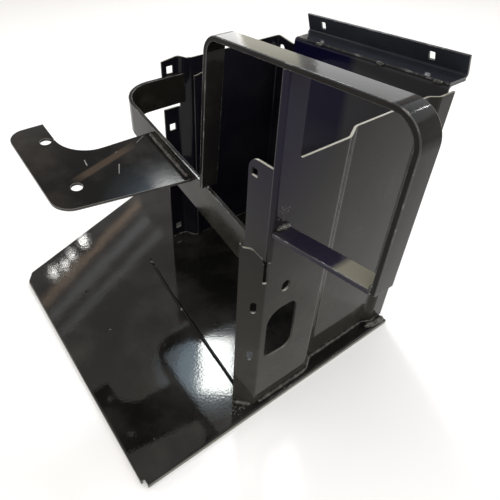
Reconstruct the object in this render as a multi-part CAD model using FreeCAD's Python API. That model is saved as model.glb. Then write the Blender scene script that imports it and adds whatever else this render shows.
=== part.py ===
import FreeCAD, Part
import math
import os

os.makedirs("parts", exist_ok=True)
V = FreeCAD.Vector

# ---------------------------------------------------------------- driving dimensions, mm
SHEET = 3.0              # folded sheet of the walls, base, floor and rear angle
BEND = 3.0               # inside radius of the sheet bends

BASE_W = 500.0           # length of the base along its right edge
BASE_H = 9.0             # overall height of the base with its turned-down lips
BASE_FRONT_X = -476.0    # left end of the straight front edge
BASE_CHAMFER = (26.0, 16.0)
BASE_FLARE_X = -698.0    # rear end of the flared left edge
BASE_BAY = (-415.0, BASE_W + 68.0)   # rear bay of the base under the left wall
FLOOR_HOLE_D = 6.0
FLOOR_HOLES = ((-382.0, 85.0), (-271.0, 82.0))

WALL_X = -10.0           # outer face of the right wall
WALL_TOP = 427.0
WALL_FRONT_Y = 199.5     # front face of the upper tab
WALL_STEP = 14.0         # depth of the pressed recess in the right wall
WALL_END_Y = BASE_W + 2.0
POST_W = 29.5            # width of the tall strip under the hoop
TAB_W = 43.0
TAB_Z = (300.0, 422.0)
SPLAY = 23.0             # run of the 45 degree flange on each axis
SQUARE = 10.0

HOOP_TOP = 527.3
HOOP_FOOT = -148.0       # outer face of the left leg at its foot
HOOP_LEFT = -134.0       # the same face at the top, the leg leaning inward
HOOP_RIGHT = 121.0
HOOP_Y = 200.0
BAR_W = 25.0
BAR_T = 6.0
LOW_BAR_Z = (345.0, 362.0)   # top face of the lower bar at the wall and at the hoop leg

TILT = 8.8               # slope of the strap and its bracket, degrees down to the right
STRAP_W = 52.0
STRAP_T = 6.0
STRAP_ARM = -417.5       # outer face of the arm
STRAP_TOP = (-145.0, 332.5)  # a point of the top edge below the hoop leg
STRAP_SKEW = 0.065       # rearward run of the strap per unit length to the left
STRAP_FACE_Y = 206.6     # front face of the strap below the hoop leg
STRAP_R = 58.0
ARM_END_Y = 354.0

BRACKET_T = 4.0
BRACKET_DROP = 15.0      # top face of the bracket below the top edge of the strap
BRACKET_HOLE_D = 16.0
BRACKET_HOLES = ((-213.5, 73.0), (-98.0, 70.5))

LEFT_X = -401.0          # inner face of the left wall
LEFT_TOP = 402.0
LEFT_STEP = 24.0
LEFT_FRONT_Y = 315.0
LEFT_BEND_Y = 346.0
LEFT_BACK_Y = BASE_W + 62.0
LEFT_HOLE = 13.0
LEFT_HOLE_Y = 331.0
LEFT_HOLES_Z = (36.0, 272.0, 381.0)
NOTCH_Z = (309.5, 370.5)
STIFF_TOP = 372.0        # top of the stiffening strip inside the left wall
STIFF_W = 54.0
REAR_HOLE_D = 14.0       # hole in the left wall's rear flange

BACK_Y = BASE_W - 11.0    # front face of the back wall
BACK_X = (-293.0, -18.0)
BACK_TOP = 437.0
RETURN_W = 36.0

ANGLE_RUN = 36.0         # depth of the rear angle's flat leg
ANGLE_UP = 27.0
ANGLE_LEAN = 9.5
ANGLE_NOTCH = 29.0
SLOT = (9.0, 12.0)
SLOTS_X = (-258.0, -68.5)

BEAD = 5.0               # leg length of the fillet welds

# the frame's origin: centre of the overall outline, on the plane the base stands on
MIDDLE = V((BASE_FLARE_X + HOOP_RIGHT) / 2, BASE_BAY[1] / 2, 0)


# ---------------------------------------------------------------- small helpers
def face_of(points):
    """Flat face through (x, y) or (x, y, corner radius) points."""
    corners = []
    count = len(points)
    for i, point in enumerate(points):
        here = V(point[0], point[1], 0)
        radius = point[2] if len(point) > 2 else 0
        if radius <= 0:
            corners.append((here, None, here))
            continue
        back = V(points[i - 1][0], points[i - 1][1], 0) - here
        ahead = V(points[(i + 1) % count][0], points[(i + 1) % count][1], 0) - here
        half = back.getAngle(ahead) / 2
        back.normalize()
        ahead.normalize()
        run = radius / math.tan(half)
        toward = back + ahead
        toward.normalize()
        middle = here + toward * (radius / math.sin(half) - radius)
        corners.append((here + back * run, middle, here + ahead * run))
    edges = []
    for i, (start, middle, stop) in enumerate(corners):
        if middle is not None:
            edges.append(Part.Arc(start, middle, stop).toShape())
        following = corners[(i + 1) % count][0]
        if (following - stop).Length > 1e-6:
            edges.append(Part.LineSegment(stop, following).toShape())
    return Part.Face(Part.Wire(edges))


def placed(shape, u, v, origin):
    """The shape with its x axis laid along u and its y axis along v."""
    w = u.cross(v)
    matrix = FreeCAD.Matrix(u.x, v.x, w.x, origin.x, u.y, v.y, w.y, origin.y,
                            u.z, v.z, w.z, origin.z, 0, 0, 0, 1)
    shape.Placement = FreeCAD.Placement(matrix)
    return shape


def flat(points, z0, z1):
    """Plate with a plan outline between two heights."""
    solid = face_of(points).extrude(V(0, 0, z1 - z0))
    solid.translate(V(0, 0, z0))
    return solid


def seen_right(points, x0, x1):
    """Solid with a (y, z) outline between two x planes."""
    solid = face_of(points).extrude(V(0, 0, x1 - x0))
    return placed(solid, V(0, 1, 0), V(0, 0, 1), V(x0, 0, 0))


def seen_front(points, y0, y1):
    """Solid with an (x, z) outline between two y planes."""
    solid = face_of(points).extrude(V(0, 0, y1 - y0))
    return placed(solid, V(1, 0, 0), V(0, 0, 1), V(0, y1, 0))


def box(x0, x1, y0, y1, z0, z1):
    return Part.makeBox(x1 - x0, y1 - y0, z1 - z0, V(x0, y0, z0))


def band(path, thick, side, inside):
    """Outline of a bent strip: the path is one face, side 1 thickens to its left."""
    count = len(path)
    near = []
    far = []
    for i in range(count):
        here = V(path[i][0], path[i][1], 0)
        dirs = []
        if i > 0:
            dirs.append(here - V(path[i - 1][0], path[i - 1][1], 0))
        if i < count - 1:
            dirs.append(V(path[i + 1][0], path[i + 1][1], 0) - here)
        for way in dirs:
            way.normalize()
        normals = [V(-way.y, way.x, 0) * side for way in dirs]
        mean = normals[0] + normals[-1]
        mean.normalize()
        other = here + mean * (thick / mean.dot(normals[0]))
        turn = 0
        if len(dirs) == 2:
            turn = dirs[0].cross(dirs[1]).z * side
        r = path[i][2] if len(path[i]) > 2 else inside
        if turn > 0:
            near.append((here.x, here.y, r + thick))
            far.append((other.x, other.y, r))
        elif turn < 0:
            near.append((here.x, here.y, r))
            far.append((other.x, other.y, r + thick))
        else:
            near.append((here.x, here.y))
            far.append((other.x, other.y))
    return near + far[::-1]


def rounded(cx, cy, w, h, r):
    """Centred rectangle outline with rounded corners."""
    return [(cx - w / 2, cy - h / 2, r), (cx + w / 2, cy - h / 2, r),
            (cx + w / 2, cy + h / 2, r), (cx - w / 2, cy + h / 2, r)]


def save(name, shape):
    shape = shape.removeSplitter()
    solids = shape.Solids
    if len(solids) != 1:
        print("WARNING", name, "has", len(solids), "solids")
    result = solids[0]
    result.translated(-MIDDLE).exportStep("parts/" + name + ".step")
    print(name, "valid", result.isValid(), "volume", round(result.Volume))
    return result


slope = math.radians(TILT)
ALONG = V(math.cos(slope), 0, -math.sin(slope))      # down the slope, to the right
NORMAL = V(math.sin(slope), 0, math.cos(slope))
STRAP_ORIGIN = V(STRAP_TOP[0], 0, STRAP_TOP[1])      # on the strap's top edge


def sloped(points, w0, w1):
    """Solid with an outline in the strap's sloping plane between two offsets."""
    solid = face_of(points).extrude(V(0, 0, w1 - w0))
    return placed(solid, ALONG, V(0, 1, 0), STRAP_ORIGIN + NORMAL * w0)


def strap_face(x):
    """Y of the strap's front face."""
    return STRAP_FACE_Y - STRAP_SKEW * (x - STRAP_TOP[0])


def strap_height(x):
    """Height of the strap's top edge."""
    return STRAP_TOP[1] - math.tan(slope) * (x - STRAP_TOP[0])


# ---------------------------------------------------------------- base plate
# One sheet with all its edges turned down; the right edge is straight, the left flares.
cx, cy = BASE_CHAMFER
outline = [(0, 0), (0, BASE_W), (BACK_X[0] + 6, BASE_W), (BACK_X[0] + 6, BASE_BAY[1]),
           (BASE_BAY[0], BASE_BAY[1]), (BASE_BAY[0], BASE_W), (BASE_FLARE_X, BASE_W),
           (BASE_FRONT_X - cx, cy), (BASE_FRONT_X, 0)]
skin = face_of(outline)
solid = flat(outline, 0, BASE_H)
bent = []
for edge in solid.Edges:
    box_ = edge.BoundBox
    if abs(box_.ZMin - BASE_H) < 1e-6 and abs(box_.ZMax - BASE_H) < 1e-6:
        if edge.Length > 40:
            bent.append(edge)
solid = solid.makeFillet(SHEET, bent)
hollow = skin.makeOffset2D(-SHEET)
hollow = hollow.extrude(V(0, 0, BASE_H - SHEET))
base = solid.cut(hollow)
base = base.cut(box(-10.0, 1.0, -1.0, 6.0, -1.0, BASE_H + 1))
for x, y in FLOOR_HOLES:
    base = base.cut(Part.makeCylinder(FLOOR_HOLE_D / 2, BASE_H, V(x, y, 1.0)))
base = save("base_plate", base)

# ---------------------------------------------------------------- floor plate of the box
# A second sheet laid on the base inside the walls, its front edge running a little askew.
inner_right = WALL_X - WALL_STEP - SHEET - 2.0
floor_points = [(LEFT_X + 8.0, 236.0), (-284.0, 220.0), (-198.0, 211.0), (inner_right, 194.0),
                (inner_right, BACK_Y - 3.0), (BACK_X[0] - 3.0, BACK_Y - 3.0),
                (BACK_X[0] - 3.0, LEFT_BACK_Y - 4.0), (LEFT_X + 4.0, LEFT_BACK_Y - 4.0),
                (LEFT_X + 4.0, 260.0, 6.0)]
floor_sheet = save("floor_plate", flat(floor_points, BASE_H, BASE_H + SHEET))

# ---------------------------------------------------------------- right wall
# One sheet: splayed front flange below, square tab above, pressed recess, tall front strip.
corner_y = WALL_FRONT_Y - 1.5
wall_path = [(WALL_X - SPLAY, corner_y - SPLAY), (WALL_X, corner_y),
             (WALL_X, 305.0, 12.0), (WALL_X - WALL_STEP, 330.0, 12.0),
             (WALL_X - WALL_STEP, WALL_END_Y - 40.0, 8.0), (WALL_X - 5.0, WALL_END_Y - 29.0, 8.0),
             (WALL_X - 5.0, WALL_END_Y)]
post_top = HOOP_TOP - BAR_T
wall = flat(band(wall_path, SHEET, 1, BEND), BASE_H, post_top)
behind_post = WALL_FRONT_Y + POST_W
wall = wall.cut(seen_right([(behind_post, WALL_TOP, 5.0), (WALL_END_Y + 5, WALL_TOP),
                            (WALL_END_Y + 5, post_top + 5), (behind_post, post_top + 5)],
                           WALL_X - 60, WALL_X + 10))
wall = wall.cut(box(WALL_X - 60, WALL_X + 5, 100, WALL_FRONT_Y, 326, post_top + 5))
# sloping shoulder of the splayed flange
diagonal = V(1, 1, 0)
diagonal.normalize()
shoulder = face_of([(-6, 327), (0, 327), (3.5, 321.5, 2.5), (14, 320.5, 10.0),
                    (25.0, 308.0, 8.0), (31.5, 301), (31.5, 340), (-6, 340)])
shoulder = shoulder.extrude(V(0, 0, 14.0))
origin = V(WALL_X - SPLAY, corner_y - SPLAY, 0) - diagonal.cross(V(0, 0, 1)) * 7.0
wall = wall.cut(placed(shoulder, diagonal, V(0, 0, 1), origin))
tab_path = [(WALL_X - TAB_W, WALL_FRONT_Y), (WALL_X, WALL_FRONT_Y), (WALL_X, WALL_FRONT_Y + 20.0)]
tab = flat(band(tab_path, SHEET, 1, BEND), TAB_Z[0], post_top)
tab = tab.cut(seen_front([(WALL_X - TAB_W - 5, TAB_Z[1] - 16, 0.0), (WALL_X - TAB_W, TAB_Z[1] - 16),
                          (WALL_X - TAB_W, TAB_Z[1], 14.0), (WALL_X - BEND - SHEET, TAB_Z[1]),
                          (WALL_X - BEND - SHEET, post_top + 5),
                          (WALL_X - TAB_W - 5, post_top + 5)], WALL_FRONT_Y - 5, WALL_FRONT_Y + 5))
front_only = box(WALL_X - BEND - SHEET, WALL_X + 5, WALL_FRONT_Y - 5, WALL_FRONT_Y + BEND + SHEET,
                 TAB_Z[0], post_top)
wall = wall.cut(front_only).fuse(tab)
# relief cut between the two front flanges
wall = wall.cut(box(WALL_X - 8, WALL_X + 2, WALL_FRONT_Y - 4.0, WALL_FRONT_Y + 1.5, 268.0, TAB_Z[0]))
# square hole of the tab
hole_x = WALL_X - TAB_W + 9.5
wall = wall.cut(seen_front(rounded(hole_x, TAB_Z[1] - 16.0, SQUARE, SQUARE, 1.0),
                           WALL_FRONT_Y - 5, WALL_FRONT_Y + 8))
# two upright slots in the splayed flange
for z in (127.0, 224.0):
    cutter = face_of(rounded(20.5, z, 8.0, 20.0, 3.9)).extrude(V(0, 0, 14.0))
    wall = wall.cut(placed(cutter, diagonal, V(0, 0, 1), origin))
# small slot and large window in the side
wall = wall.cut(seen_right(rounded(234.0, 245.0, 14.0, 18.0, 6.9), WALL_X - 8, WALL_X + 5))
wall = wall.cut(seen_right([(208.0, 113.0, 16.0), (261.0, 110.0, 16.0), (260.0, 207.0, 14.0),
                            (208.0, 208.0, 24.0)], WALL_X - 8, WALL_X + 5))
wall = save("right_wall", wall)

# ---------------------------------------------------------------- left wall
# One sheet: front strip stepped outward, long side, rear flange turned in behind the box.
left_path = [(LEFT_X - LEFT_STEP, LEFT_FRONT_Y), (LEFT_X - LEFT_STEP, LEFT_BEND_Y, 6.0),
             (LEFT_X, LEFT_BEND_Y + 13.0, 6.0), (LEFT_X, LEFT_BACK_Y),
             (BACK_X[0] + SHEET, LEFT_BACK_Y)]
left = flat(band(left_path, SHEET, 1, BEND), BASE_H, LEFT_TOP + 1)
left = left.cut(seen_right([(LEFT_FRONT_Y - 5, 396.5), (LEFT_FRONT_Y + 2, 397.5),
                            (LEFT_BEND_Y + 4, LEFT_TOP, 4.0), (LEFT_BEND_Y + 12, LEFT_TOP - 1.5),
                            (LEFT_BEND_Y + 13, LEFT_TOP), (LEFT_BACK_Y + 9, LEFT_TOP + 1),
                            (LEFT_BACK_Y + 9, LEFT_TOP + 20), (LEFT_FRONT_Y - 5, LEFT_TOP + 20)],
                           LEFT_X - 40, LEFT_X + 4))
left = left.cut(seen_front([(LEFT_X + 4, LEFT_TOP + 1), (LEFT_X + 38, LEFT_TOP - 6),
                            (BACK_X[1], LEFT_TOP - 6), (BACK_X[1], LEFT_TOP + 20),
                            (LEFT_X + 4, LEFT_TOP + 20)], LEFT_BACK_Y - 5, LEFT_BACK_Y + 9))
left = left.cut(seen_right([(LEFT_FRONT_Y - 5, NOTCH_Z[0]), (LEFT_BEND_Y + 3, NOTCH_Z[0], 2.0),
                            (LEFT_BEND_Y + 3, NOTCH_Z[1], 2.0), (LEFT_FRONT_Y - 5, NOTCH_Z[1])],
                           LEFT_X - 40, LEFT_X - 2))
for z in LEFT_HOLES_Z:
    left = left.cut(seen_right(rounded(LEFT_HOLE_Y, z, LEFT_HOLE, LEFT_HOLE, 1.0),
                               LEFT_X - 40, LEFT_X - LEFT_STEP + 4))
left = left.cut(placed(Part.makeCylinder(REAR_HOLE_D / 2, 4 * SHEET), V(1, 0, 0), V(0, 0, 1),
                       V(LEFT_X + 12, LEFT_BACK_Y + 2 * SHEET, LEFT_HOLES_Z[2])))
left = save("left_wall", left)

# ---------------------------------------------------------------- stiffener inside the left wall
# A narrow stepped strip whose cut top edge shows as a small S against the wall.
stiff_y = LEFT_BEND_Y + 15.0
stiff_path = [(LEFT_X + 8.0, stiff_y), (LEFT_X + 8.0, stiff_y + 7.0, 4.0),
              (LEFT_X + SHEET, stiff_y + 19.0, 4.0), (LEFT_X + SHEET, stiff_y + STIFF_W)]
stiffener = flat(band(stiff_path, SHEET, 1, 1.0), BASE_H + BEAD, STIFF_TOP)
stiffener = save("wall_stiffener", stiffener)

# ---------------------------------------------------------------- back wall
# One sheet: panel across the back, side turned rearward, top turned rearward under the angle.
back_path = [(BACK_X[1], BACK_Y), (BACK_X[0], BACK_Y), (BACK_X[0], LEFT_BACK_Y)]
panel = flat(band(back_path, SHEET, -1, BEND), BASE_H, BACK_TOP - 30.0)
upper = seen_right(band([(BACK_Y, BACK_TOP - 40.0), (BACK_Y, BACK_TOP),
                         (BACK_Y + RETURN_W, BACK_TOP)], SHEET, -1, BEND),
                   BACK_X[0] + BEND + SHEET, BACK_X[1])
back = save("back_wall", panel.fuse(upper))

# ---------------------------------------------------------------- rear mounting angle
# Angle on top of the back wall: flat leg with its left end cut off at a slant, leaning upright.
angle_path = [(BACK_Y, BACK_TOP + SHEET), (BACK_Y + ANGLE_RUN, BACK_TOP + SHEET),
              (BACK_Y + ANGLE_RUN - ANGLE_LEAN, BACK_TOP + SHEET + ANGLE_UP)]
angle = seen_right(band(angle_path, SHEET, -1, BEND), BACK_X[0] + SHEET, BACK_X[1])
angle = angle.cut(flat([(BACK_X[0], BACK_Y - 5), (BACK_X[0] + SHEET + ANGLE_NOTCH, BACK_Y - 5),
                        (BACK_X[0] + SHEET + ANGLE_NOTCH, BACK_Y),
                        (BACK_X[0] + SHEET, BACK_Y + ANGLE_RUN - 4),
                        (BACK_X[0], BACK_Y + ANGLE_RUN - 4)], BACK_TOP - 5, BACK_TOP + SHEET + 0.5))
lean = V(0, -ANGLE_LEAN, ANGLE_UP)
lean.normalize()
slot_up = 0.53 * math.hypot(ANGLE_LEAN, ANGLE_UP)
for x in SLOTS_X:
    cutter = face_of(rounded(x, slot_up, SLOT[0], SLOT[1], 1.5)).extrude(V(0, 0, 20.0))
    foot = V(0, BACK_Y + ANGLE_RUN, BACK_TOP + SHEET) - V(1, 0, 0).cross(lean) * 10.0
    angle = angle.cut(placed(cutter, V(1, 0, 0), lean, foot))
angle = save("rear_angle", angle)

# ---------------------------------------------------------------- strap
# Flat bar on edge: from the left wall forward, round the corner and across to the tab.
tab_edge = WALL_X - TAB_W
strap_path = [(tab_edge, strap_face(tab_edge)),
              (STRAP_ARM, strap_face(STRAP_ARM), STRAP_R - STRAP_T), (STRAP_ARM, ARM_END_Y)]
strap_low = STRAP_TOP[1] - 2.5 * STRAP_W
strap_high = STRAP_TOP[1] + 1.7 * STRAP_W
strap = flat(band(strap_path, STRAP_T, -1, BEND), strap_low, strap_high)
reach = (STRAP_ARM - STRAP_TOP[0] - 2 * STRAP_W, -STRAP_TOP[0])
depth = (WALL_FRONT_Y - 2 * STRAP_W, ARM_END_Y + STRAP_W)
strap = strap.common(sloped([(reach[0], depth[0]), (reach[1], depth[0]), (reach[1], depth[1]),
                             (reach[0], depth[1])], -STRAP_W, 0))
strap = strap.cut(box(tab_edge, tab_edge + STRAP_W, depth[0], WALL_FRONT_Y + STRAP_W,
                      strap_low, strap_high))
strap = strap.cut(left)
strap = sorted(strap.Solids, key=lambda s: s.Volume)[-1]
strap = save("strap", strap)

# ---------------------------------------------------------------- bracket
# Plate welded to the front of the strap, with a quarter-round mouth and two bolt holes;
# the hole at the end breaks out through the mouth.
arm_left = -259.0
mouth = -160.5
mouth_y = 86.5
plate_front = 29.5
plate_right = -35.0
lean_right = 29.0
under = strap_face(STRAP_TOP[0] + mouth) + 0.4 * STRAP_T
bracket_points = [(arm_left, mouth_y), (arm_left, plate_front, 25.0),
                  (plate_right - lean_right, plate_front, 30.0),
                  (plate_right, strap_face(STRAP_TOP[0] + plate_right) + 0.4 * STRAP_T),
                  (mouth, under), (mouth, mouth_y, 52.0)]
bracket = sloped(bracket_points, -BRACKET_DROP - BRACKET_T, -BRACKET_DROP)
low = STRAP_ORIGIN + NORMAL * (-BRACKET_DROP - 12.0)
for u, y in BRACKET_HOLES:
    cutter = Part.makeCylinder(BRACKET_HOLE_D / 2, 20.0, V(u, y, 0))
    holder = Part.Compound([cutter])
    bracket = bracket.cut(placed(holder, ALONG, V(0, 1, 0), low))
u, y = BRACKET_HOLES[0]
bracket = bracket.cut(sloped([(u - 2.0, y), (u + 2.5, y), (u + 2.5, y + 20), (u - 2.0, y + 20)],
                             -BRACKET_DROP - 12.0, -BRACKET_DROP + 5.0))
bracket = bracket.cut(strap)
bracket = save("bolt_bracket", bracket)

# ---------------------------------------------------------------- hoop
# Flat bar bent into an upright loop: it stands on the strap, crosses the wall strip and
# comes down outside the wall to the lower bar.
hoop_path = [(HOOP_FOOT - 2.0, STRAP_TOP[1] - 0.5 * STRAP_W), (HOOP_LEFT, HOOP_TOP, 22.0 - BAR_T),
             (HOOP_RIGHT, HOOP_TOP, 30.0 - BAR_T), (HOOP_RIGHT, LOW_BAR_Z[1] - 0.6 * BAR_T)]
hoop = seen_front(band(hoop_path, BAR_T, -1, BEND), HOOP_Y, HOOP_Y + BAR_W)
hoop = hoop.cut(sloped([(-STRAP_W, depth[0]), (STRAP_W, depth[0]), (STRAP_W, WALL_FRONT_Y + STRAP_W),
                        (-STRAP_W, WALL_FRONT_Y + STRAP_W)], -2 * STRAP_W, 0))
hoop = sorted(hoop.Solids, key=lambda s: s.Volume)[-1]
hoop = save("hoop_bar", hoop)

low_points = [(WALL_X, LOW_BAR_Z[0]), (HOOP_RIGHT - BAR_T, LOW_BAR_Z[1]),
              (HOOP_RIGHT - BAR_T, LOW_BAR_Z[1] - BAR_T), (WALL_X, LOW_BAR_Z[0] - BAR_T)]
low_bar = save("hoop_bottom_bar", seen_front(low_points, HOOP_Y, HOOP_Y + BAR_W))


# ---------------------------------------------------------------- weld beads
def bead(start, stop, one, other, leg=BEAD):
    """Straight fillet weld in the corner between two directions."""
    corner = Part.makePolygon([start, start + one * leg, start + other * leg, start])
    return Part.Face(corner).extrude(stop - start)


def foot_bead(path, leg=BEAD):
    """Fillet weld that follows a wall's bent face along the floor, with a sloping front."""
    follow = [path[0]]
    for i in range(1, len(path) - 1):
        into = V(path[i][0] - path[i - 1][0], path[i][1] - path[i - 1][1], 0)
        out = V(path[i + 1][0] - path[i][0], path[i + 1][1] - path[i][1], 0)
        grow = SHEET if into.cross(out).z > 0 else -leg
        follow.append((path[i][0], path[i][1], path[i][2] + grow))
    follow.append(path[-1])
    outline = band(follow, leg, -1, BEND)
    body = flat(outline, BASE_H, BASE_H + leg)
    front = []
    for edge in body.Edges:
        middle = edge.valueAt((edge.FirstParameter + edge.LastParameter) / 2)
        if abs(middle.z - BASE_H - leg) < 1e-6:
            if wall_gap(middle, path) > 0.5 * leg and edge.Length > leg * 1.05:
                front.append(edge)
    return body.makeChamfer(0.8 * leg, front)


def wall_gap(point, path):
    """Plan distance from a point to a path of straight runs."""
    best = 1e9
    for i in range(len(path) - 1):
        run = Part.LineSegment(V(path[i][0], path[i][1], 0), V(path[i + 1][0], path[i + 1][1], 0))
        gap = run.toShape().distToShape(Part.Vertex(point.x, point.y, 0))[0]
        best = min(best, gap)
    return best


X = V(1, 0, 0)
Y = V(0, 1, 0)
Z = V(0, 0, 1)
foot_path = [(WALL_X, WALL_FRONT_Y + 6.0)] + wall_path[2:6] + [(wall_path[6][0], BASE_W - 4.0)]
save("weld_right_foot", foot_bead(foot_path))
left_foot = [(left_path[0][0], LEFT_FRONT_Y + 2.0)] + left_path[1:3] + [(LEFT_X, LEFT_BACK_Y - 42.0)]
save("weld_left_foot", foot_bead(left_foot, 4.0))

flange_out = diagonal.cross(Z)
flange_start = V(wall_path[0][0], wall_path[0][1], BASE_H) + diagonal * 1.0
flange_stop = V(wall_path[1][0], wall_path[1][1], BASE_H) - diagonal * 4.0
save("weld_flange_foot", bead(flange_start, flange_stop, flange_out, Z))

save("weld_hoop_post", bead(V(WALL_X, HOOP_Y + 8, post_top), V(WALL_X, HOOP_Y + BAR_W, post_top),
                            X, -Z))
bar_way = V(HOOP_RIGHT - BAR_T - WALL_X, 0, LOW_BAR_Z[1] - LOW_BAR_Z[0])
bar_way.normalize()
wall_foot = V(WALL_X, HOOP_Y + 6, LOW_BAR_Z[0])
save("weld_low_bar_wall", bead(wall_foot, wall_foot + Y * (BAR_W - 6), bar_way, Z))
leg_foot = V(HOOP_RIGHT - BAR_T, HOOP_Y, LOW_BAR_Z[1])
save("weld_low_bar_leg", bead(leg_foot, leg_foot + Y * BAR_W, -bar_way, Z, 3.5))

leg_in = HOOP_FOOT + BAR_T - 1.0
strap_top = V(leg_in, strap_face(leg_in) + 0.3, strap_height(leg_in))
save("weld_leg_strap", bead(strap_top, strap_top + Y * (STRAP_T - 0.6), ALONG, Z, 5.0).cut(hoop))

strap_way = V(1, -STRAP_SKEW, -math.tan(slope))
strap_way.normalize()
plate_out = strap_way.cross(NORMAL)
face_up = V(STRAP_SKEW, 1, 0).cross(strap_way) * -1.0
face_up.normalize()
drop = BRACKET_DROP / math.cos(slope)
ends = []
for x in (STRAP_TOP[0] + mouth + 6, STRAP_TOP[0] + plate_right - 8):
    ends.append(V(x, strap_face(x), strap_height(x) - drop))
save("weld_bracket", bead(ends[0], ends[1], plate_out, face_up))

tab_back = V(WALL_X - TAB_W, WALL_FRONT_Y + SHEET, TAB_Z[0] + 1.0)
save("weld_strap_tab", bead(tab_back, tab_back + Z * 17.0, X, Y, 4.0))

for number, x in enumerate((-240.0, -127.0, -40.0)):
    tack = Part.makeCylinder(3.2, 13.0, V(x, BACK_Y + 0.8, BACK_TOP - 0.8), X)
    save("weld_tack_" + str(number + 1), tack.cut(back).cut(angle))

corner = V(BACK_X[1], BACK_Y, 385.0)
save("weld_back_corner", bead(corner, V(BACK_X[1], BACK_Y, WALL_TOP - 2.0), -X, -Y, 4.0))
print("done")
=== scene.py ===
import math

import bmesh
import bpy
import numpy as np
from mathutils import Matrix, Quaternion, Vector


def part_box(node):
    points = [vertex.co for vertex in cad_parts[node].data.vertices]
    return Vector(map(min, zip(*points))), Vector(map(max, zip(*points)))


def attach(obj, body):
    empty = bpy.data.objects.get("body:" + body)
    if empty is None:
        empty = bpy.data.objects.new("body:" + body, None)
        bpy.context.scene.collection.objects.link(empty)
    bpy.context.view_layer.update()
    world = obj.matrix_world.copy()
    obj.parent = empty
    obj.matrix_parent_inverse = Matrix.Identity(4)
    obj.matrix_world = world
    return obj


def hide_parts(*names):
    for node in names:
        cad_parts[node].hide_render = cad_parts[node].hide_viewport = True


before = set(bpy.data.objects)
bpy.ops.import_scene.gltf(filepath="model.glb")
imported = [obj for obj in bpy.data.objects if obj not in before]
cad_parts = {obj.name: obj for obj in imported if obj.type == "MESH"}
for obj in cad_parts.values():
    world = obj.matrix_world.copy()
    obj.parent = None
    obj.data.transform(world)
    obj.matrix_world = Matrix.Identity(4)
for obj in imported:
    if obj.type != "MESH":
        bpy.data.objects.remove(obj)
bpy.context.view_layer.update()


# ---------------------------------------------------------------- base plate
# One piece of 3 mm steel sheet with all its edges folded down over a small radius, sprayed
# gloss black like all the rest. Its top carries the walls and has two small screw holes.
def dressed(name, round_off=0.0007, cut=0.0036):
    """The sheet's own CAD surface with doubles merged and flats made whole, its cut edges
    rounded by the paint. A face is a cut edge where its area, divided by half the length of
    its sharp sides, is no more than the sheet's thickness: these, and the faces that the
    rounding makes, take the second material."""
    sharp_bend = math.radians(38.0)
    work = bmesh.new()
    work.from_mesh(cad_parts[name].data)
    bmesh.ops.remove_doubles(work, verts=work.verts, dist=1e-6)
    bmesh.ops.dissolve_limit(work, angle_limit=math.radians(0.4), verts=work.verts,
                             edges=work.edges, delimit={"NORMAL"})
    for face in work.faces:
        sharp = sum(e.calc_length() for e in face.edges if e.calc_face_angle(0.0) > 1.0)
        if sharp > 0 and 2 * face.calc_area() / sharp < cut:
            face.material_index = 1
    mesh = bpy.data.meshes.new(name + "_painted")
    work.to_mesh(mesh)
    work.free()
    piece = bpy.data.objects.new(name + "_painted", mesh)
    bpy.context.scene.collection.objects.link(piece)
    mesh.shade_smooth()
    mesh.set_sharp_from_angle(angle=sharp_bend)
    edge = piece.modifiers.new("paint_edge", "BEVEL")
    edge.width = round_off
    edge.segments = 2
    edge.limit_method = "ANGLE"
    edge.angle_limit = sharp_bend
    edge.use_clamp_overlap = True
    edge.material = 1
    even = piece.modifiers.new("even_faces", "WEIGHTED_NORMAL")
    even.mode = "FACE_AREA"
    even.keep_sharp = False
    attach(piece, "root")
    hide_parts(name)
    return piece


def coated(piece, face_paint, cut_paint):
    """The first material lies on the faces, the second on cut edges and rounded corners."""
    piece.data.materials.append(face_paint)
    piece.data.materials.append(cut_paint)


def noise(tree, place, scale, detail, roughness=0.5):
    """Fractal noise over a place: a value about 0.5 that wanders between 0 and 1."""
    cloud = tree.nodes.new("ShaderNodeTexNoise")
    cloud.inputs["Scale"].default_value = scale
    cloud.inputs["Detail"].default_value = detail
    cloud.inputs["Roughness"].default_value = roughness
    tree.links.new(place, cloud.inputs["Vector"])
    return cloud.outputs["Fac"]


def ramp(tree, value, start, stop, low=0.0, high=1.0):
    """Low while the value is short of start, high past stop, and a straight slope between."""
    slope = tree.nodes.new("ShaderNodeMapRange")
    slope.inputs["From Min"].default_value = start
    slope.inputs["From Max"].default_value = stop
    slope.inputs["To Min"].default_value = low
    slope.inputs["To Max"].default_value = high
    tree.links.new(value, slope.inputs["Value"])
    return slope.outputs["Result"]


def maths(tree, operation, one, other=None):
    """A number worked out from one or two others; the second may be a plain value."""
    step = tree.nodes.new("ShaderNodeMath")
    step.operation = operation
    tree.links.new(one, step.inputs[0])
    if isinstance(other, float):
        step.inputs[1].default_value = other
    elif other is not None:
        tree.links.new(other, step.inputs[1])
    return step.outputs["Value"]


def blend(tree, share, under, over):
    """Colour that is under where the share is 0 and over where it is 1."""
    mixed = tree.nodes.new("ShaderNodeMix")
    mixed.data_type = "RGBA"
    tree.links.new(share, mixed.inputs["Factor"])
    for side, colour in (("A", under), ("B", over)):
        if isinstance(colour, tuple):
            mixed.inputs[side].default_value = (*colour, 1.0)
        else:
            tree.links.new(colour, mixed.inputs[side])
    return mixed.outputs["Result"]


def bump(tree, height, strength, distance, under=None):
    """Relief from a height, laid on top of another relief where one is given."""
    relief = tree.nodes.new("ShaderNodeBump")
    relief.inputs["Strength"].default_value = strength
    relief.inputs["Distance"].default_value = distance
    tree.links.new(height, relief.inputs["Height"])
    if under is not None:
        tree.links.new(under, relief.inputs["Normal"])
    return relief.outputs["Normal"]


def parts_of(tree, vector):
    """The X, Y and Z parts of a vector."""
    split = tree.nodes.new("ShaderNodeSeparateXYZ")
    tree.links.new(vector, split.inputs["Vector"])
    return split.outputs


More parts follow.
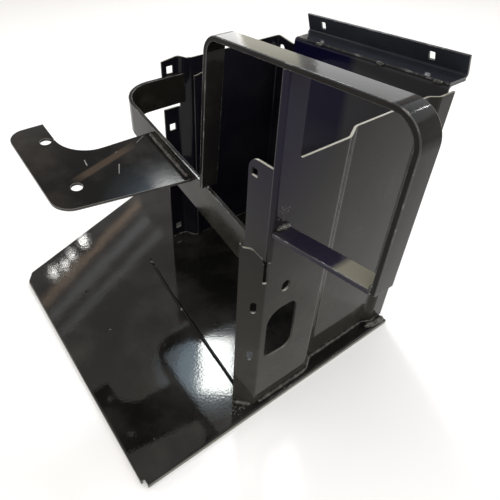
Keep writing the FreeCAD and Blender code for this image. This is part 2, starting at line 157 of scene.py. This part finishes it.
def new_paint(name, mirror):
    """A material, its nodes, its shader, and the piece's own coordinates."""
    paint = bpy.data.materials.new(name)
    paint.use_nodes = True
    tree = paint.node_tree
    shader = tree.nodes["Principled BSDF"]
    shader.inputs["Specular IOR Level"].default_value = mirror
    return paint, tree, shader, tree.nodes.new("ShaderNodeTexCoord").outputs["Object"]


def gloss_black(name, colour, dust, dust_amount, roughness, grime_scale=9.0, wave=0.1,
                peel=0.12, mirror=0.34, tint=(1.0, 0.985, 0.93)):
    """Sprayed gloss black: a dark base colour with a thin uneven film of dust, roughness that
    follows the dust, orange peel a few millimetres wide, and long waves where the sheet
    isn't flat."""
    paint, tree, shader, place = new_paint(name, mirror)
    shader.inputs["IOR"].default_value = 1.5
    shader.inputs["Specular Tint"].default_value = (*tint, 1.0)
    cloud = noise(tree, place, scale=grime_scale, detail=6.0, roughness=0.62)
    film = ramp(tree, cloud, start=0.45, stop=0.75, low=0.0, high=dust_amount)
    sheen = ramp(tree, cloud, start=0.3, stop=0.75, low=roughness[0], high=roughness[1])
    swells = noise(tree, place, scale=13.0, detail=1.5)
    pimples = noise(tree, place, scale=260.0, detail=2.0)
    long_waves = bump(tree, swells, strength=wave, distance=0.004)
    skin = bump(tree, pimples, strength=peel, distance=0.0004, under=long_waves)
    tree.links.new(blend(tree, film, colour, dust), shader.inputs["Base Color"])
    tree.links.new(sheen, shader.inputs["Roughness"])
    tree.links.new(skin, shader.inputs["Normal"])
    return paint


def rubbed_edge(name, colour=(0.02, 0.02, 0.021), bare=(0.32, 0.31, 0.29), wear=0.4,
                grain=70.0, mirror=0.5, highlight_on_top=(0.02, 0.02, 0.021)):
    """Paint drawn thin over a cut edge: dark, with small rubbed places where steel shows, and a
    painted highlight, another tone, on edges that look up and lie high."""
    paint, tree, shader, place = new_paint(name, mirror)
    rubs = noise(tree, place, scale=grain, detail=5.0, roughness=0.7)
    facing = tree.nodes.new("ShaderNodeNewGeometry").outputs["Normal"]
    upward = ramp(tree, parts_of(tree, facing)["Z"], start=0.5, stop=0.9)
    high_up = ramp(tree, parts_of(tree, place)["Z"], start=0.10, stop=0.30, low=0.15)
    # painted highlight: edges that look up and lie high take the highlight tone
    with_top_highlight = blend(tree, maths(tree, "MULTIPLY", upward, high_up), colour, highlight_on_top)
    worn = ramp(tree, rubs, start=0.52, stop=0.66, low=0.0, high=wear)
    sheen = ramp(tree, rubs, start=0.0, stop=1.0, low=0.14, high=0.34)
    skin = bump(tree, rubs, strength=0.2, distance=0.0003)
    tree.links.new(blend(tree, worn, with_top_highlight, bare), shader.inputs["Base Color"])
    tree.links.new(sheen, shader.inputs["Roughness"])
    tree.links.new(skin, shader.inputs["Normal"])
    return paint


def second_coat(paint, colour, shares):
    """Another colour over the paint's own, as full as all the shares multiplied."""
    tree = paint.node_tree
    surface = tree.nodes["Principled BSDF"].inputs["Base Color"]
    under = surface.links[0].from_socket
    share = shares[0]
    for other in shares[1:]:
        share = maths(tree, "MULTIPLY", share, other)
    tree.links.new(blend(tree, share, under, colour), surface)


def sprayed_over(paint, colour, limits):
    """A second coat inside a block of the sheet: for each axis, limits give where the coat is
    full and where it has faded out."""
    tree = paint.node_tree
    spot = parts_of(tree, tree.nodes.new("ShaderNodeTexCoord").outputs["Object"])
    shares = [ramp(tree, spot[axis], gone, full) for axis, (full, gone) in limits.items()]
    second_coat(paint, colour, shares)


edge_paint = rubbed_edge("painted_cut_edge")
base_paint = gloss_black("base_gloss_black", colour=(0.006, 0.0058, 0.0056),
                         dust=(0.045, 0.042, 0.038), dust_amount=0.55,
                         roughness=(0.015, 0.10), wave=0.05, grime_scale=7.0)
lip_top = 0.0056     # the lips' paler coat, a painted reflection, ends between these two heights
fold_top = 0.0074
sprayed_over(base_paint, (0.11, 0.103, 0.08), {"Z": (lip_top, fold_top)})
coated(dressed("base_plate"), base_paint, edge_paint)

# ---------------------------------------------------------------- floor sheet of the box
# A second 3 mm steel sheet laid flat on the base between the walls. It is cut by hand, so its
# front edge runs a little askew, and small tacks hold it.
# the floor sheet's cut edge is painted near black: a painted shade in the step along its front
shaded_sheet_edge = rubbed_edge("floor_sheet_shaded_cut_edge", colour=(0.003, 0.003, 0.003), wear=0.06,
                        mirror=0.05, highlight_on_top=(0.004, 0.004, 0.004))
coated(dressed("floor_plate"), base_paint, shaded_sheet_edge)

# ---------------------------------------------------------------- walls
# Four folded 3 mm steel sheets that stand on the base and are welded along their feet: the
# right wall with its pressed recess, splayed flange and square tab, the left wall stepped at
# the front, the narrow stiffening strip inside it, and the back wall.
# the right wall takes a lighter copy of the wall paint: a painted light on the lit outer wall
lit_wall_paint = gloss_black("wall_gloss_black", colour=(0.0250, 0.0240, 0.0205),
                         dust=(0.052, 0.049, 0.040), dust_amount=0.55,
                         roughness=(0.04, 0.13), wave=0.08, grime_scale=16.0, mirror=0.10)
# the pale tone where these edges look up and lie high is a painted highlight
wall_edge = rubbed_edge("wall_cut_edge", colour=(0.03, 0.029, 0.028), bare=(0.16, 0.15, 0.13),
                        wear=0.3, grain=24.0, mirror=0.3, highlight_on_top=(0.30, 0.285, 0.235))
# the walls inside the box take a darker copy of the same paint: a painted shade
shaded_inner_paint = gloss_black("shaded_inner_wall_gloss_black", colour=(0.0055, 0.0053, 0.0085),
                          dust=(0.024, 0.023, 0.026), dust_amount=0.35,
                          roughness=(0.04, 0.13), wave=0.08, grime_scale=6.0, mirror=0.15)
back_paint = gloss_black("back_wall_gloss_black", colour=(0.026, 0.0255, 0.027),
                         dust=(0.03, 0.028, 0.036), dust_amount=0.3,
                         roughness=(0.05, 0.13), wave=0.06, grime_scale=5.0, mirror=0.07,
                         tint=(0.93, 0.9, 1.0))
for name, paint in (("right_wall", lit_wall_paint), ("left_wall", shaded_inner_paint),
                    ("wall_stiffener", shaded_inner_paint), ("back_wall", back_paint)):
    coated(dressed(name), paint, wall_edge)

# a painted reflection, violet, on the upper left of the back wall's front face, and on the right
# wall a painted shade, darker toward the top, and a painted reflection, violet, near the top of
# its front strip
panel_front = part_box("back_wall")[0].y
sprayed_over(back_paint, (0.0034, 0.0030, 0.0150),
             {"X": (0.114, 0.130), "Y": (panel_front + 0.0008, panel_front + 0.002),
              "Z": (0.33, 0.20)})
sprayed_over(lit_wall_paint, (0.0105, 0.0098, 0.0088), {"Z": (0.48, 0.08)})
sprayed_over(lit_wall_paint, (0.0105, 0.0088, 0.0190), {"Y": (-0.058, 0.016), "Z": (0.46, 0.28)})

# ---------------------------------------------------------------- rear mounting angle
# A slotted angle of the same 3 mm steel sheet, tacked on top of the back wall. Its upright leg
# leans forward, and the flat leg's left end is cut away.
angle_paint = gloss_black("angle_gloss_black", colour=(0.018, 0.019, 0.0245),
                          dust=(0.05, 0.054, 0.066), dust_amount=0.4,
                          roughness=(0.06, 0.16), wave=0.08, grime_scale=8.0, mirror=0.13,
                          tint=(0.92, 0.95, 1.0))
coated(dressed("rear_angle"), angle_paint, edge_paint)

# ---------------------------------------------------------------- strap, bracket and hoop
# Flat steel bar, bent cold and welded: the strap on edge round the front, and the hoop that
# stands on the strap and comes down outside the wall onto a short lower bar. The bolt bracket
# is a 4 mm steel plate welded to the strap's front face.
strap_paint = gloss_black("strap_gloss_black", colour=(0.010, 0.0098, 0.008),
                          dust=(0.07, 0.066, 0.048), dust_amount=0.4,
                          roughness=(0.05, 0.16), wave=0.06, grime_scale=14.0, mirror=0.17)
hoop_paint = gloss_black("bar_gloss_black", colour=(0.0065, 0.006, 0.006),
                         dust=(0.035, 0.031, 0.024), dust_amount=0.3,
                         roughness=(0.05, 0.16), wave=0.06, grime_scale=14.0, mirror=0.095)
low_bar_paint = gloss_black("low_bar_gloss_black", colour=(0.014, 0.012, 0.022),
                            dust=(0.07, 0.06, 0.05), dust_amount=0.5,
                            roughness=(0.06, 0.16), wave=0.06, grime_scale=20.0, mirror=0.14,
                            tint=(0.92, 0.88, 1.0))
bracket_paint = gloss_black("bracket_gloss_black", colour=(0.006, 0.006, 0.006),
                            dust=(0.060, 0.050, 0.040), dust_amount=0.4,
                            roughness=(0.05, 0.17), wave=0.05, grime_scale=11.0, mirror=0.09,
                            tint=(1.0, 0.97, 0.9))
# the lower bar is paler at its outer end, but not on its front face
sprayed_over(low_bar_paint, (0.15, 0.14, 0.105), {"X": (0.366, 0.358), "Y": (-0.0830, -0.0838)})


def brown_reflection_streak(paint, start, stop, width, colour):
    """A painted reflection, brown, laid as a straight smear in plan from start to stop. Along it
    and across it the share is 1 up to 0.55 of the half size, measured from the middle, and falls
    to 0 at the half size."""
    tree = paint.node_tree
    run = Vector(stop) - Vector(start)
    half_run = 0.5 * run.length
    turned = tree.nodes.new("ShaderNodeMapping")
    turned.vector_type = "TEXTURE"
    turned.inputs["Location"].default_value = (*start, 0.0)
    turned.inputs["Rotation"].default_value = (0.0, 0.0, math.atan2(run.y, run.x))
    place = tree.nodes.new("ShaderNodeTexCoord").outputs["Object"]
    tree.links.new(place, turned.inputs["Vector"])
    spot = parts_of(tree, turned.outputs["Vector"])
    shares = []
    for axis, middle, half_size in (("X", half_run, half_run), ("Y", 0.0, width)):
        apart = maths(tree, "ABSOLUTE", maths(tree, "SUBTRACT", spot[axis], middle))
        shares.append(ramp(tree, apart, half_size, 0.55 * half_size))
    second_coat(paint, colour, shares)


# a painted reflection: a brown streak across the bracket's top
brown_reflection_streak(bracket_paint, start=(0.0345, -0.2179), stop=(-0.003, -0.0980), width=0.0075,
             colour=(0.048, 0.035, 0.026))
bracket_edge = 0.0045     # the bracket is 4 mm thick; the bars' narrow sides are no cut edges
for name, paint, cut_paint, cut in (("strap", strap_paint, edge_paint, 0.0),
                                    ("bolt_bracket", bracket_paint, wall_edge, bracket_edge),
                                    ("hoop_bar", hoop_paint, edge_paint, 0.0),
                                    ("hoop_bottom_bar", low_bar_paint, edge_paint, 0.0)):
    coated(dressed(name, round_off=0.001, cut=cut), paint, cut_paint)

# ---------------------------------------------------------------- weld beads
# Hand-laid beads of steel in the corners between the sheets, under the same paint: a rope of
# metal pushed into rings like a row of coins, thicker here and thinner there, with rounded ends.
weld_paint = gloss_black("weld_gloss_black", colour=(0.012, 0.0115, 0.011),
                         dust=(0.17, 0.16, 0.135), dust_amount=0.65,
                         roughness=(0.08, 0.3), peel=0.6, wave=0.2, grime_scale=90.0,
                         mirror=0.5)


def ringed(stations, around):
    """The faces of a closed row of rings, each of so many points around: four-sided ones from
    every ring to the next, a fan from the first ring to the point numbered after all the
    rings, and a fan from the last ring to the point after that."""
    i, j = np.meshgrid(np.arange(stations - 1), np.arange(around), indexing="ij")
    k = (j + 1) % around
    quads = np.stack((i * around + j, i * around + k, (i + 1) * around + k,
                      (i + 1) * around + j), axis=-1).reshape(-1, 4)
    turn = np.arange(around)
    step = (turn + 1) % around
    last = (stations - 1) * around
    tip = np.full(around, stations * around)
    return (quads, np.stack((step, turn, tip), axis=1),
            np.stack((last + turn, last + step, tip + 1), axis=1))


def set_down(name, points, faces, paint):
    """The metal's closed surface with its faces turned outwards, smooth and painted."""
    mesh = bpy.data.meshes.new(name)
    mesh.from_pydata(points.reshape(-1, 3).tolist(), [], faces)
    work = bmesh.new()
    work.from_mesh(mesh)
    bmesh.ops.recalc_face_normals(work, faces=work.faces)
    work.to_mesh(mesh)
    work.free()
    mesh.shade_smooth()
    mesh.materials.append(paint)
    piece = bpy.data.objects.new(name, mesh)
    bpy.context.scene.collection.objects.link(piece)
    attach(piece, "root")
    return piece


def laid_bead(name, corner, one, other, leg=0.005, ring=0.0036, seed=1, paint=weld_paint):
    """A round rope along the corner line, its middle set out from the corner along the sum
    of the two sheet directions. Radius = 0.62 leg times a swell that rises and falls once
    per ring, swept forward at the crown, times a slow random wander, times a quarter circle
    at each end that closes it to a point."""
    thickness = 0.62 * leg
    set_out = 0.24 * leg
    end_run = 0.8 * leg
    ring_depth = 0.16
    crown_sweep = 1.1
    per_ring = 7
    sides = 14
    rng = np.random.default_rng(seed)
    corner = np.asarray(corner, float)
    runs = np.linalg.norm(np.diff(corner, axis=0), axis=1)
    marks = np.concatenate(([0.0], np.cumsum(runs)))
    length = marks[-1]
    count = max(16, int(length / ring * per_ring))
    s = np.linspace(0.0, length, count)
    middle = np.stack([np.interp(s, marks, corner[:, k]) for k in range(3)], axis=1)
    one = np.broadcast_to(np.asarray(one, float), middle.shape)
    other = np.broadcast_to(np.asarray(other, float), middle.shape)
    angle = np.linspace(0.0, 2 * np.pi, sides + 1)[:-1]
    crown = np.cos(angle - np.pi / 4)
    turned = np.pi * s[:, None] / ring + crown_sweep * crown[None, :]
    swell = 1.0 + ring_depth * np.abs(np.sin(turned))
    drift = np.interp(s, np.linspace(0, length, 9), rng.uniform(0.88, 1.12, 9))[:, None]
    near_end = np.clip(np.minimum(s, length - s) / end_run, 0.0, 1.0)
    close = np.sqrt(1.0 - (1.0 - near_end) ** 2)[:, None]
    radius = thickness * swell * drift * close
    middle = middle + (one + other) * set_out
    rings = (middle[:, None, :] + radius[:, :, None]
             * (np.cos(angle)[None, :, None] * one[:, None, :]
                + np.sin(angle)[None, :, None] * other[:, None, :]))
    rings = rings[1:-1]
    points = np.concatenate((rings.reshape(-1, 3), middle[:1], middle[-1:]))
    quads, start, stop = ringed(len(rings), sides)
    return set_down(name, points, quads.tolist() + start.tolist() + stop.tolist(), paint)


# along the right wall's foot: the flat behind the flange, the recess, and the lip behind it
floor_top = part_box("weld_right_foot")[0].z
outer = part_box("right_wall")[1].x
recess = outer - 0.014
rear_lip = outer - 0.005
wall_foot = [(outer, -0.0785, floor_top), (outer, 0.018, floor_top),
             (outer - 0.002, 0.026, floor_top), (recess + 0.002, 0.041, floor_top),
             (recess, 0.049, floor_top), (recess, 0.172, floor_top),
             (rear_lip, 0.189, floor_top), (rear_lip, 0.212, floor_top)]
bead = laid_bead("right_foot_bead", wall_foot, (1, 0, 0), (0, 0, 1), leg=0.0048, seed=2)
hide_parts("weld_right_foot")

# along the left wall's foot, past its front step
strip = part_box("weld_left_foot")[0].x
side = strip + 0.024
left_foot = [(strip, 0.033, floor_top), (strip, 0.058, floor_top),
             (strip + 0.003, 0.064, floor_top), (side - 0.003, 0.073, floor_top),
             (side, 0.080, floor_top), (side, 0.236, floor_top)]
bead = laid_bead("left_foot_bead", left_foot, (1, 0, 0), (0, 0, 1), leg=0.004, seed=3)
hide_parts("weld_left_foot")

# at the foot of the splayed flange, which stands at 45 degrees
low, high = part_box("weld_flange_foot")
half = math.sqrt(0.5)
bead_out = 0.0035
bead = laid_bead("flange_foot_bead", [(low.x, low.y + bead_out, low.z),
                                      (high.x - bead_out, high.y, low.z)],
                 (half, -half, 0), (0, 0, 1), leg=0.0056, ring=0.0042, seed=4)
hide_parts("weld_flange_foot")

# under the hoop's top, where it crosses the wall's tall strip
low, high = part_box("weld_hoop_post")
bead = laid_bead("hoop_post_bead", [(low.x, low.y, high.z), (low.x, high.y, high.z)],
                 (1, 0, 0), (0, 0, -1), seed=5)
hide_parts("weld_hoop_post")

# on top of the lower bar, at the wall and at the hoop's leg
low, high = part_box("weld_low_bar_wall")
bar_top = low.z + 0.0006
bead = laid_bead("low_bar_wall_bead", [(low.x, low.y, bar_top), (low.x, high.y, bar_top)],
                 (1, 0, 0.1), (0, 0, 1), leg=0.006, ring=0.0042, seed=6)
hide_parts("weld_low_bar_wall")
low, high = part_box("weld_low_bar_leg")
bar_top = low.z + 0.0004
bead = laid_bead("low_bar_leg_bead", [(high.x, low.y, bar_top), (high.x, high.y, bar_top)],
                 (-1, 0, 0), (0, 0, 1), leg=0.0035, seed=7)
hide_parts("weld_low_bar_leg")

# beside the hoop's other leg on the strap's top edge
low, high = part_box("weld_leg_strap")
fillet = 0.005     # leg of the CAD part's fillet welds
strap_top = high.z - fillet
bead = laid_bead("leg_strap_bead", [(low.x, low.y, strap_top), (low.x, high.y, strap_top)],
                 (1, 0, -0.15), (0, 0, 1), seed=8)
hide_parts("weld_leg_strap")

# on top of the bracket along the strap, which falls and comes forward to the right
low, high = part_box("weld_bracket")
strap_fall = 0.155
strap_skew = 0.065
plate_up = (0.15, 0, 0.99)
width = high.x - low.x
plate_top = high.z - fillet
bead = laid_bead("bracket_bead", [(low.x, high.y, plate_top),
                                  (high.x, high.y - strap_skew * width,
                                   plate_top - strap_fall * width)],
                 (0, -1, 0), plate_up, leg=0.0052, ring=0.004, seed=9)
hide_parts("weld_bracket")

# upright behind the tab, where the strap ends
low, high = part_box("weld_strap_tab")
bead = laid_bead("strap_tab_bead", [(low.x, low.y, low.z), (low.x, low.y, high.z)],
                 (1, 0, 0), (0, 1, 0), leg=0.004, seed=10)
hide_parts("weld_strap_tab")

# three tacks that hold the rear angle to the back wall
tack_radius = 0.0032
for number in (1, 2, 3):
    low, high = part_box("weld_tack_" + str(number))
    line = [(x, high.y - tack_radius, high.z - tack_radius) for x in (low.x, high.x)]
    bead = laid_bead("angle_tack_" + str(number), line, (0, -1, 0), (0, 0, 1), leg=0.0044,
                     seed=10 + number)
    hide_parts("weld_tack_" + str(number))

# upright in the corner between the back wall and the right wall
low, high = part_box("weld_back_corner")
bead = laid_bead("back_corner_bead", [(high.x, high.y, low.z), (high.x, high.y, high.z)],
                 (-1, 0, 0), (0, -1, 0), leg=0.004, seed=14)
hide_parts("weld_back_corner")

# ---------------------------------------------------------------- tacks of the floor sheet
# Three short steel tacks, laid by hand, that hold the floor sheet's front edge to the base:
# one near each end of the edge and one between them.
tacks = (("floor_tack_1", (-0.094, -0.0505), (-0.084, -0.0490)),
         ("floor_tack_2", (0.052, -0.0700), (0.060, -0.0712)),
         ("floor_tack_3", (0.240, -0.0900), (0.2485, -0.0895)))
for number, (name, start, stop) in enumerate(tacks):
    laid_bead(name, [(*start, floor_top), (*stop, floor_top)], (0, -1, 0), (0, 0, 1),
              leg=0.0046, seed=20 + number)

# ---------------------------------------------------------------- scuffs on the bracket
# Four thin ridges of torn paint on top of the bolt bracket, where bolts and tools have caught
# it. Each follows the plate, which falls 8.8 degrees to the right.
scuff_paint = rubbed_edge("bracket_scuff", colour=(0.16, 0.155, 0.145), bare=(0.42, 0.41, 0.38),
                          highlight_on_top=(0.16, 0.155, 0.145), wear=0.6)
scuffs = (((-0.0033, -0.1811), (0.0110, -0.1832)), ((0.0286, -0.1430), (0.0480, -0.1533)),
          ((-0.0137, -0.0799), (-0.0032, -0.0979)), ((0.0010, -0.1325), (0.0035, -0.1352)))
plate_fall = math.tan(math.radians(8.8))
plate_low, plate_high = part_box("bolt_bracket")
sunk = 0.0004
for number, ends in enumerate(scuffs):
    line = [(x, y, plate_high.z - plate_fall * (x - plate_low.x) - sunk) for x, y in ends]
    laid_bead("bracket_scuff_" + str(number + 1), line, (0, 1, 0), plate_up, leg=0.0013,
              ring=0.006, seed=40 + number, paint=scuff_paint)

# ---------------------------------------------------------------- seam, drip and rear foot
# A dark bead along the floor sheet's front edge is a painted shade in the step there, and a drip
# has set beside it. A heavier run of weld closes the right wall's foot at the base's rear corner.
# painted shade: a near-black bead that stands for the shade in the step
seam_shade_paint = gloss_black("seam_shade_gloss_black", colour=(0.003, 0.003, 0.0035),
                         dust=(0.05, 0.048, 0.042), dust_amount=0.05,
                         roughness=(0.06, 0.12), peel=0.05, mirror=0.1)
sheet_front = ((-0.083, -0.0511), (0.0045, -0.0640), (0.0905, -0.0730), (0.2560, -0.0900))
laid_bead("floor_sheet_shade_seam", [(x, y, floor_top) for x, y in sheet_front], (0, -1, 0), (0, 0, 1),
          leg=0.0042, ring=0.05, seed=30, paint=seam_shade_paint)
laid_bead("base_drip", [(0.094, -0.1320, floor_top), (0.110, -0.1420, floor_top)],
          (half, -half, 0), (0, 0, 1), leg=0.0022, ring=0.008, seed=24)
laid_bead("rear_foot_run", [(outer - 0.003, 0.168, floor_top), (outer + 0.001, 0.190, floor_top),
                            (outer + 0.001, 0.213, floor_top)],
          (1, 0, 0), (0, 0, 1), leg=0.0085, ring=0.0052, seed=25)


# ---------------------------------------------------------------- weld spatter
# Small drops of steel that flew off the arc and stuck: round the flange's foot, on the wall
# above the lower bar, and here and there on the base.
def spatter(name, spots, across, rise, up=(0, 0, 1)):
    """Each drop is a ball flattened along the sheet's normal, radius across on the sheet and
    rise above it, sunk by a third: point = spot + across * (sin p cos t, sin p sin t) in the
    sheet + rise * (cos p - 0.33) along up. All drops are one mesh."""
    rows, columns = 5, 8
    sink = 0.33
    askew = (0.31, 0.52, 0.79)
    spots = np.asarray(spots, float)
    up = np.asarray(up, float) / np.linalg.norm(up)
    side = np.cross(up, askew)
    side /= np.linalg.norm(side)
    other = np.cross(up, side)
    polar = np.linspace(0.0, np.pi, rows + 2)[1:-1]
    turn = np.linspace(0.0, 2 * np.pi, columns + 1)[:-1]
    ball = np.stack((np.outer(np.sin(polar), np.cos(turn)), np.outer(np.sin(polar), np.sin(turn)),
                     np.outer(np.cos(polar), np.ones(columns))), axis=-1).reshape(-1, 3)
    ball = np.concatenate((ball, [(0, 0, 1), (0, 0, -1)]))
    flat = ball[:, :1] * side + ball[:, 1:2] * other
    drops = (spots[:, None, :] + flat[None, :, :] * across[:, None, None]
             + (ball[:, 2:3] - sink)[None, :, :] * up * rise[:, None, None])
    quads, top, foot = ringed(rows, columns)
    each = np.arange(len(spots))[:, None, None] * len(ball)
    faces = ((each + quads).reshape(-1, 4).tolist() + (each + top).reshape(-1, 3).tolist()
             + (each + foot).reshape(-1, 3).tolist())
    return set_down(name, drops, faces, weld_paint)


# scattered about the flange's foot, kept on the base's side of the flange and off its edge
rng = np.random.default_rng(7)
count = 46
around_foot = np.stack((rng.normal(0.272, 0.010, count), rng.normal(-0.110, 0.012, count),
                        np.full(count, floor_top)), axis=1)
flange_line = 0.371
base_edge = 0.2845
around_foot = around_foot[around_foot[:, 0] - around_foot[:, 1] > flange_line]
around_foot = around_foot[around_foot[:, 0] < base_edge]
kept = len(around_foot)
spatter("flange_foot_spatter", around_foot, rng.uniform(0.0006, 0.0018, kept),
        rng.uniform(0.0006, 0.0014, kept))
count = 34
on_wall = np.stack((np.full(count, outer), rng.normal(-0.0690, 0.0045, count),
                    rng.normal(0.3665, 0.0050, count)), axis=1)
spatter("wall_spatter", on_wall, rng.uniform(0.0006, 0.0016, count),
        rng.uniform(0.0006, 0.0014, count), up=(1, 0, 0))
count = 26
on_base = np.stack((rng.uniform(-0.25, 0.24, count), rng.uniform(-0.265, -0.09, count),
                    np.full(count, floor_top)), axis=1)
spatter("base_spatter", on_base, rng.uniform(0.0005, 0.0011, count),
        rng.uniform(0.0004, 0.0009, count))

# ---------------------------------------------------------------- studio
# A wide pale floor just clear of the part, a plain sky that is pale at the horizon, greyer
# above it and bright again near the top, and soft boxes: one key, a window with its halo in
# the base, and boards and lamps that the bars and the folds mirror.
reach = 9.0
clear = -0.0005
floor_mesh = bpy.data.meshes.new("studio_floor")
floor_mesh.from_pydata([(-reach, -reach, clear), (reach, -reach, clear), (reach, reach, clear),
                        (-reach, reach, clear)], [], [(0, 1, 2, 3)])
studio_floor = bpy.data.objects.new("studio_floor", floor_mesh)
bpy.context.scene.collection.objects.link(studio_floor)
pale = bpy.data.materials.new("pale_floor")
pale.use_nodes = True
matte = pale.node_tree.nodes["Principled BSDF"]
matte.inputs["Base Color"].default_value = (0.92, 0.92, 0.915, 1.0)
matte.inputs["Roughness"].default_value = 0.9
matte.inputs["Specular IOR Level"].default_value = 0.0
floor_mesh.materials.append(pale)

# the sky's colour by height, from the horizon at 0 to overhead at 1
world = bpy.data.worlds.new("studio_sky")
bpy.context.scene.world = world
world.use_nodes = True
tree = world.node_tree
sky = tree.nodes["Background"]
way = tree.nodes.new("ShaderNodeTexCoord").outputs["Generated"]
height = tree.nodes.new("ShaderNodeValToRGB")
bands = ((0.0, (0.92, 0.92, 0.90)), (0.18, (0.95, 0.95, 0.93)), (0.30, (1.0, 0.99, 0.97)),
         (0.46, (0.86, 0.85, 0.84)), (0.62, (0.62, 0.60, 0.60)), (0.76, (0.66, 0.62, 0.60)),
         (0.86, (1.05, 0.97, 0.92)), (0.97, (0.80, 0.78, 0.78)))
for number, (at, colour) in enumerate(bands):
    if number < 2:
        stop = height.color_ramp.elements[number]
        stop.position = at
    else:
        stop = height.color_ramp.elements.new(at)
    stop.color = (*colour, 1.0)
tree.links.new(parts_of(tree, way)["Z"], height.inputs["Fac"])
tree.links.new(height.outputs["Color"], sky.inputs["Color"])
sky.inputs["Strength"].default_value = 0.95


def soft_box(name, near, turn, rise, away, width, depth, glow, colour=(1.0, 1.0, 1.0),
             shape="RECTANGLE", roll=0.0):
    """A flat lamp that faces the point near, seen from there at a turn (0 looks along +Y, 90
    along +X) and a rise above level, in degrees, at a distance, and turned in its own plane by
    roll. Its power is its glow times pi times its area, so glow is how bright it looks beside
    white."""
    lamp = bpy.data.lights.new(name, "AREA")
    lamp.shape = shape
    lamp.size = width
    lamp.size_y = depth
    lamp.energy = glow * math.pi * width * depth
    lamp.color = colour
    holder = bpy.data.objects.new(name, lamp)
    bpy.context.scene.collection.objects.link(holder)
    turn, rise = math.radians(turn), math.radians(rise)
    outward = Vector((math.sin(turn) * math.cos(rise), math.cos(turn) * math.cos(rise),
                      math.sin(rise)))
    holder.location = Vector(near) + outward * away
    holder.rotation_mode = "QUATERNION"
    upright = outward.to_track_quat("Z", "Y")
    holder.rotation_quaternion = upright @ Quaternion((0.0, 0.0, 1.0), math.radians(roll))


# the key, and the window that shows in the base beside the flange
beside_flange = (0.2, -0.13, 0.009)
soft_box("key", (0.1, -0.1, 0.15), turn=118.0, rise=50.0, away=2.6, width=1.5, depth=1.5,
         glow=3.6)
soft_box("window", beside_flange, turn=-52.0, rise=54.5, away=2.4, width=0.22, depth=0.34,
         glow=38.0, colour=(0.97, 1.0, 1.0))
for number, (width, glow) in enumerate(((0.42, 2.3), (0.56, 1.2), (0.74, 0.8))):
    soft_box("window_halo_" + str(number + 1), beside_flange, turn=-54.5, rise=55.0,
             away=2.5 + 0.05 * number, width=width, depth=width * 0.9, glow=glow,
             colour=(0.56, 0.78, 1.0), shape="ELLIPSE")

# boards and lamps for the folds of the base and for the hoop's top and corner
on_hoop = (0.27, -0.07, 0.527)
on_left = (-0.25, -0.12, 0.009)
soft_box("lip_board", on_left, turn=-133.0, rise=25.0, away=3.0, width=1.2, depth=0.6,
         glow=4.5, colour=(1.0, 0.98, 0.86))
soft_box("fold_lamp", (0.28, 0.1, 0.009), turn=56.0, rise=41.0, away=3.4, width=0.4, depth=0.3,
         glow=9.0)
soft_box("warm_board", on_hoop, turn=-47.5, rise=16.5, away=3.5, width=0.50, depth=0.55,
         glow=2.0, colour=(1.0, 0.94, 0.74))
soft_box("white_board", on_hoop, turn=-54.5, rise=15.5, away=3.5, width=0.40, depth=0.55,
         glow=4.6)
soft_box("grey_board", on_hoop, turn=-34.0, rise=20.0, away=3.5, width=0.80, depth=0.60,
         glow=2.2, colour=(0.97, 0.98, 1.0))
soft_box("cool_board", on_hoop, turn=8.0, rise=33.0, away=3.2, width=2.2, depth=0.60,
         glow=1.6, colour=(0.86, 0.93, 1.0))
for number, (turn, rise) in enumerate(((6.0, 34.0), (13.0, 46.0), (20.0, 58.0))):
    soft_box("far_lamp_" + str(number + 1), on_hoop, turn, rise, away=3.4, width=0.06,
             depth=0.06, glow=220.0)

# ceiling lamps and the strips of a roof, seen in the base's left corner
lamps = ((-74.7, 38.2, 70.0), (-77.6, 40.0, 45.0), (-79.5, 41.2, 50.0), (-82.0, 41.8, 60.0))
for number, (turn, rise, glow) in enumerate(lamps):
    soft_box("ceiling_lamp_" + str(number + 1), on_left, turn, rise, away=3.6, width=0.06,
             depth=0.045, glow=glow)
roof = ((-76.0, 41.6, 0.06, 2.2, (1.0, 0.72, 0.50)), (-75.0, 44.2, 0.09, 1.1, (0.90, 0.96, 1.0)),
        (-73.0, 46.8, 0.05, 1.3, (0.88, 0.95, 1.0)))
for number, (turn, rise, depth, glow, colour) in enumerate(roof):
    soft_box("roof_strip_" + str(number + 1), on_left, turn, rise, away=3.4, width=1.6,
             depth=depth, glow=glow, colour=colour, roll=33.0)

# ---------------------------------------------------------------- camera
# A 33 mm lens on a 36 mm wide frame, a little shifted. It is held by hand, a little rolled,
# and looks down at the part's front right corner.
held_at = (0.5525, -0.363, 0.658)
azimuth, elevation, roll = map(math.radians, (-57.5, 38.3, 2.3))
forward = Vector((math.sin(azimuth) * math.cos(elevation),
                  math.cos(azimuth) * math.cos(elevation), -math.sin(elevation)))
right = forward.cross(Vector((0, 0, 1))).normalized()
down = forward.cross(right)
turned_right = right * math.cos(roll) + down * math.sin(roll)
turned_down = down * math.cos(roll) - right * math.sin(roll)
axes = Matrix((turned_right, -turned_down, -forward)).transposed().to_4x4()
camera = bpy.data.cameras.new("camera")
camera.sensor_width = 36.0
camera.lens = 32.832
camera.shift_x = 0.12
camera.shift_y = -0.044
camera.clip_start = 0.01
viewer = bpy.data.objects.new("camera", camera)
bpy.context.scene.collection.objects.link(viewer)
viewer.matrix_world = Matrix.Translation(held_at) @ axes
bpy.context.scene.camera = viewer
bpy.context.scene.view_settings.view_transform = "Standard"
